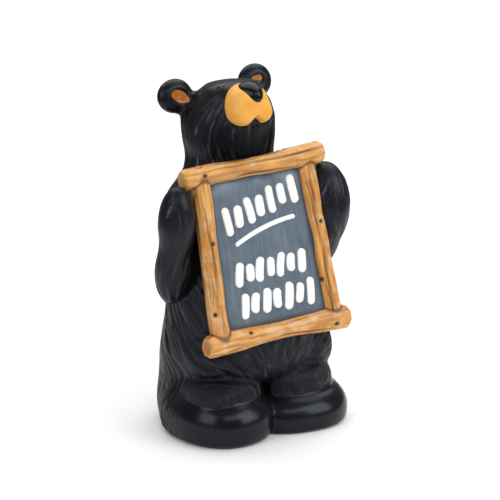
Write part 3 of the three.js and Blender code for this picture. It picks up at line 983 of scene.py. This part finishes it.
def logPaint():
    # golden tan acrylic over carved grain, with a brown wash that stays in grooves, knots and joints, a
    # darker brown on the logs' sides that turn away from the front as painted shade, and a paler pinkish dry
    # brushing in patches; the grain is already in millimetres
    material, tree, shader = newMaterial("washed_tan_acrylic", Roughness=0.46, IOR=1.45)
    grain = addNode(tree, "Attribute", output="Vector", attribute_name="grain")
    place = addNode(tree, "TexCoord", output="Object")
    stretched = addNode(tree, "Mapping", {"Vector": grain, "Scale": (1, 1, 0.08)})
    fine = addNode(tree, "TexNoise", {"Vector": stretched, "Scale": 1 / 1.2, "Detail": 4})
    slow = addNode(tree, "Mapping", {"Vector": grain, "Scale": (1, 1, 0.25)})
    broad = addNode(tree, "TexNoise", {"Vector": slow, "Scale": 1 / 5, "Detail": 3})
    patch = addNode(tree, "TexNoise", {"Vector": place, "Scale": 1 / (6 * mm), "Detail": 3})
    speck = addNode(tree, "TexNoise", {"Vector": place, "Scale": 1 / (1.3 * mm), "Detail": 2})

    bands = addNode(tree, "MapRange", {"Value": broad, 1: 0.36, 2: 0.64})
    colour = addNode(tree, "Mix", {0: bands, 6: linear("#cd8c42"), 7: linear("#e5ab5a")}, 2, data_type="RGBA")
    pale = addNode(tree, "MapRange", {"Value": patch, 1: 0.5, 2: 0.66, 4: 0.7})
    colour = addNode(tree, "Mix", {0: pale, 6: colour, 7: linear("#e4bd94")}, 2, data_type="RGBA")
    lines = addNode(tree, "MapRange", {"Value": fine, 1: 0.5, 2: 0.68, 4: 0.55})
    colour = addNode(tree, "Mix", {0: lines, 6: colour, 7: linear("#93591f")}, 2, data_type="RGBA")
    dots = addNode(tree, "MapRange", {"Value": speck, 1: 0.66, 2: 0.76, 4: 0.5})
    colour = addNode(tree, "Mix", {0: dots, 6: colour, 7: linear("#7c4719")}, 2, data_type="RGBA")
    groove = addNode(tree, "Attribute", output="Fac", attribute_name="groove")
    wash = addNode(tree, "MapRange", {"Value": groove, 1: 0.15, 2: 0.8, 4: 0.9})
    colour = addNode(tree, "Mix", {0: wash, 6: colour, 7: linear("#6f3f16")}, 2, data_type="RGBA")
    # painted shade: the logs darken to brown as their surface turns away from the front
    flank = addNode(tree, "SeparateXYZ", {"Vector": grain}, "Y")
    flank = addNode(tree, "Math", {0: flank, 1: patch}, operation="ADD")
    turnedAwayShade = addNode(tree, "MapRange", {"Value": flank, 1: 1.9, 2: -0.6, 4: 0.75})
    colour = addNode(tree, "Mix", {0: turnedAwayShade, 6: colour, 7: linear("#7a451a")}, 2, data_type="RGBA")
    joint = addNode(tree, "Attribute", output="Fac", attribute_name="joint")
    seam = addNode(tree, "MapRange", {"Value": joint, 1: 0.2, 2: 1, 4: 0.85})
    colour = addNode(tree, "Mix", {0: seam, 6: colour, 7: linear("#64370f")}, 2, data_type="RGBA")

    # sawn ends: faint rings, and a brown wash pooled in the hollowed one
    reach = addNode(tree, "Attribute", output="Fac", attribute_name="reach")
    rings = addNode(tree, "Math", {0: reach, 1: 5.2}, operation="MULTIPLY")
    rings = addNode(tree, "Math", {0: rings}, operation="SINE")
    rings = addNode(tree, "MapRange", {"Value": rings, 1: -1, 2: 1, 4: 0.35})
    ends = addNode(tree, "Mix", {0: rings, 6: linear("#cf9a55"), 7: linear("#9a6128")}, 2, data_type="RGBA")
    cup = addNode(tree, "Attribute", output="Fac", attribute_name="cup")
    pooled = addNode(tree, "MapRange", {"Value": cup, 1: 0.1, 2: 0.8, 4: 0.85})
    ends = addNode(tree, "Mix", {0: pooled, 6: ends, 7: linear("#a4622a")}, 2, data_type="RGBA")
    cut = addNode(tree, "Attribute", output="Fac", attribute_name="cut")
    colour = addNode(tree, "Mix", {0: cut, 6: colour, 7: ends}, 2, data_type="RGBA")
    knot = addNode(tree, "Attribute", output="Fac", attribute_name="knot")
    eye = addNode(tree, "MapRange", {"Value": knot, 1: 0.25, 2: 0.75})
    colour = addNode(tree, "Mix", {0: eye, 6: colour, 7: linear("#4e2a10")}, 2, data_type="RGBA")
    tree.links.new(colour, shader.inputs["Base Color"])
    bump = addNode(tree, "Bump", {"Height": fine, "Distance": 0.3 * mm, "Strength": 0.6})
    tree.links.new(bump, shader.inputs["Normal"])
    return material


def slatePaint():
    # blue-grey acrylic brushed up and down, its edges next to the logs darkened as painted shade, and paler
    # towards its top in patches
    material, tree, shader = newMaterial("brushed_slate_acrylic", Roughness=0.48, IOR=1.45)
    place = addNode(tree, "TexCoord", output="Object")
    drawn = addNode(tree, "Mapping", {"Vector": place, "Scale": (1, 0.12, 0.12)})
    streak = addNode(tree, "TexNoise", {"Vector": drawn, "Scale": 1 / (2.2 * mm), "Detail": 4})
    patch = addNode(tree, "TexNoise", {"Vector": place, "Scale": 1 / (13 * mm), "Detail": 4})
    slow = addNode(tree, "MapRange", {"Value": patch, 1: 0.36, 2: 0.64})
    colour = addNode(tree, "Mix", {0: slow, 6: linear("#4c5b69"), 7: linear("#5d6d7a")}, 2, data_type="RGBA")
    light = addNode(tree, "MapRange", {"Value": streak, 1: 0.5, 2: 0.8, 4: 0.5})
    colour = addNode(tree, "Mix", {0: light, 6: colour, 7: linear("#7d8b97")}, 2, data_type="RGBA")
    edge = addNode(tree, "Attribute", output="Fac", attribute_name="edge")
    up = addNode(tree, "Attribute", output="Fac", attribute_name="up")
    # paler towards the top in patches
    high = addNode(tree, "MapRange", {"Value": up, 1: 0.72, 2: 0.9})
    paleTop = addNode(tree, "Math", {0: high, 1: slow}, operation="MULTIPLY")
    colour = addNode(tree, "Mix", {0: paleTop, 6: colour, 7: linear("#8795a3")}, 2, data_type="RGBA")
    # painted shade: the board darkens to a deep blue-grey along its edges next to the logs
    wash = addNode(tree, "MapRange", {"Value": edge, 1: 2.4, 2: 0.2, 4: 0.9})
    colour = addNode(tree, "Mix", {0: wash, 6: colour, 7: linear("#262f3a")}, 2, data_type="RGBA")
    tree.links.new(colour, shader.inputs["Base Color"])
    bump = addNode(tree, "Bump", {"Height": streak, "Distance": 0.2 * mm, "Strength": 0.4})
    tree.links.new(bump, shader.inputs["Normal"])
    return material


def whitePaint():
    # thick bright white acrylic, dabbed on
    material, tree, shader = newMaterial("white_acrylic", Roughness=0.5, IOR=1.45)
    place = addNode(tree, "TexCoord", output="Object")
    cloud = addNode(tree, "TexNoise", {"Vector": place, "Scale": 1 / (3 * mm), "Detail": 2})
    colour = addNode(tree, "Mix", {0: cloud, 6: linear("#f6f6f4"), 7: linear("#ffffff")}, 2, data_type="RGBA")
    tree.links.new(colour, shader.inputs["Base Color"])
    bump = addNode(tree, "Bump", {"Height": cloud, "Distance": 0.1 * mm, "Strength": 0.3})
    tree.links.new(bump, shader.inputs["Normal"])
    return material


studio = {                                   # in metres and degrees
    "azimuth": -33, "elevation": 18, "distance": 1.5,
    "view": 0.2555,                          # how wide the view is at the figurine
    "aim": (3.2, 84.1),                      # mm right and up in the view, from the body's axis on the floor
    "tableRadius": 0.36,                     # the round white table top under the figurine
    "room": 0.21,                            # brightness of the dim room that the varnish reflects
    "backdrop": 1.1,                         # and of the white paper that the camera sees behind the table
    # each lamp: direction as right, towards the camera and up; distance; size; brightness of its face
    "lamps": {
        "overhead": {"from": (0.0, -0.5, 1), "distance": 1.7, "size": (2.6, 1.9), "face": 2.4},
        "key": {"from": (1, 0.42, 0.6), "distance": 1.0, "size": (0.6, 0.7), "face": 3.8},
        "fill": {"from": (-0.7, 0.8, 0.55), "distance": 1.1, "size": (0.6, 0.7), "face": 2.7},
        "front": {"from": (0.45, 1, 0.95), "distance": 1.2, "size": (0.8, 0.3), "face": 2.6},
    },
}


def buildCamera():                           # gives the directions right and level towards the camera
    a, e = math.radians(studio["azimuth"]), math.radians(studio["elevation"])
    right = Vector((math.cos(a), math.sin(a), 0))
    back = Vector((math.sin(a) * math.cos(e), -math.cos(a) * math.cos(e), math.sin(e)))
    up = back.cross(right)
    across, rise = studio["aim"]
    target = (bodyAxis + right * across + up * rise) * mm
    data = bpy.data.cameras.new("camera")
    data.lens = data.sensor_width * studio["distance"] / studio["view"]
    camera = bpy.data.objects.new("camera", data)
    camera.location = target + back * studio["distance"]
    camera.rotation_euler = (-back).to_track_quat("-Z", "Y").to_euler()
    bpy.context.scene.collection.objects.link(camera)
    bpy.context.scene.camera = camera
    return right, Vector((back.x, back.y, 0)).normalized()


def addSoftbox(name, lamp, right, front):
    x, y, z = lamp["from"]
    direction = (right * x + front * y + Vector((0, 0, z))).normalized()
    data = bpy.data.lights.new(name, "AREA")
    data.shape = "RECTANGLE"
    data.size, data.size_y = lamp["size"]
    data.energy = lamp["face"] * math.pi * data.size * data.size_y
    softbox = bpy.data.objects.new(name, data)
    softbox.location = (cadLow + cadHigh) / 2 + direction * lamp["distance"]
    softbox.rotation_euler = (-direction).to_track_quat("-Z", "Y").to_euler()
    bpy.context.scene.collection.objects.link(softbox)


def buildStudio(right, front):
    bm = bmesh.new()
    bmesh.ops.create_circle(bm, cap_ends=True, segments=128, radius=studio["tableRadius"])
    floor = objectOf(bm, "floor")
    material, _, shader = newMaterial("matt_white_paper", Roughness=0.9)
    shader.inputs["Base Color"].default_value = linear("#fbfbfb")
    floor.data.materials.append(material)
    for name, lamp in studio["lamps"].items():
        addSoftbox(name, lamp, right, front)
    world = bpy.data.worlds.new("studio")
    world.use_nodes = True
    background = world.node_tree.nodes["Background"]
    background.inputs["Color"].default_value = linear("#ffffff")
    # the camera sees white paper all round, while the figurine is lit by a dim room
    seen = addNode(world.node_tree, "LightPath")
    glow = addNode(world.node_tree, "MapRange", {"Value": seen, 3: studio["room"], 4: studio["backdrop"]})
    world.node_tree.links.new(glow, background.inputs["Strength"])
    bpy.context.scene.world = world
    bpy.context.scene.view_settings.view_transform = "Standard"


right, front = buildCamera()
buildStudio(right, front)

bearBody = buildBearBody()
carveFur(bearBody)
bearBody.data.materials.append(blackPaint())
placed(bearBody, "black_paint", "bear")

lips = [placeOf(face["lip"], side) for side in (1, -1)]
muzzle = buildCast("muzzle", muzzleField, placeOf(face["muzzle"]), *lips)
muzzle.data.materials.append(muzzlePaint())
placed(muzzle, "muzzle_paint")
nose = buildCast("nose", noseField, *[placeOf(part) for part in face["nose"].values()])
nose.data.materials.append(glossBlack("varnished_nose", 0.17, 1.3))
placed(nose, "black_paint")
eyePaint = glossBlack("varnished_eye", 0.1, 1.55)
for side in (1, -1):
    eye = buildEye(side)
    eye.data.materials.append(eyePaint)
    placed(eye, "black_paint")

logFrame = buildLogFrame()
logFrame.data.materials.append(logPaint())
placed(logFrame, "log_paint", "sign_frame")
slateBoard = buildBoard()
slateBoard.data.materials.append(slatePaint())
placed(slateBoard, "slate_paint", "sign_board")
whiteStrokes = buildStrokes()
whiteStrokes.data.materials.append(whitePaint())
placed(whiteStrokes, "white_paint")
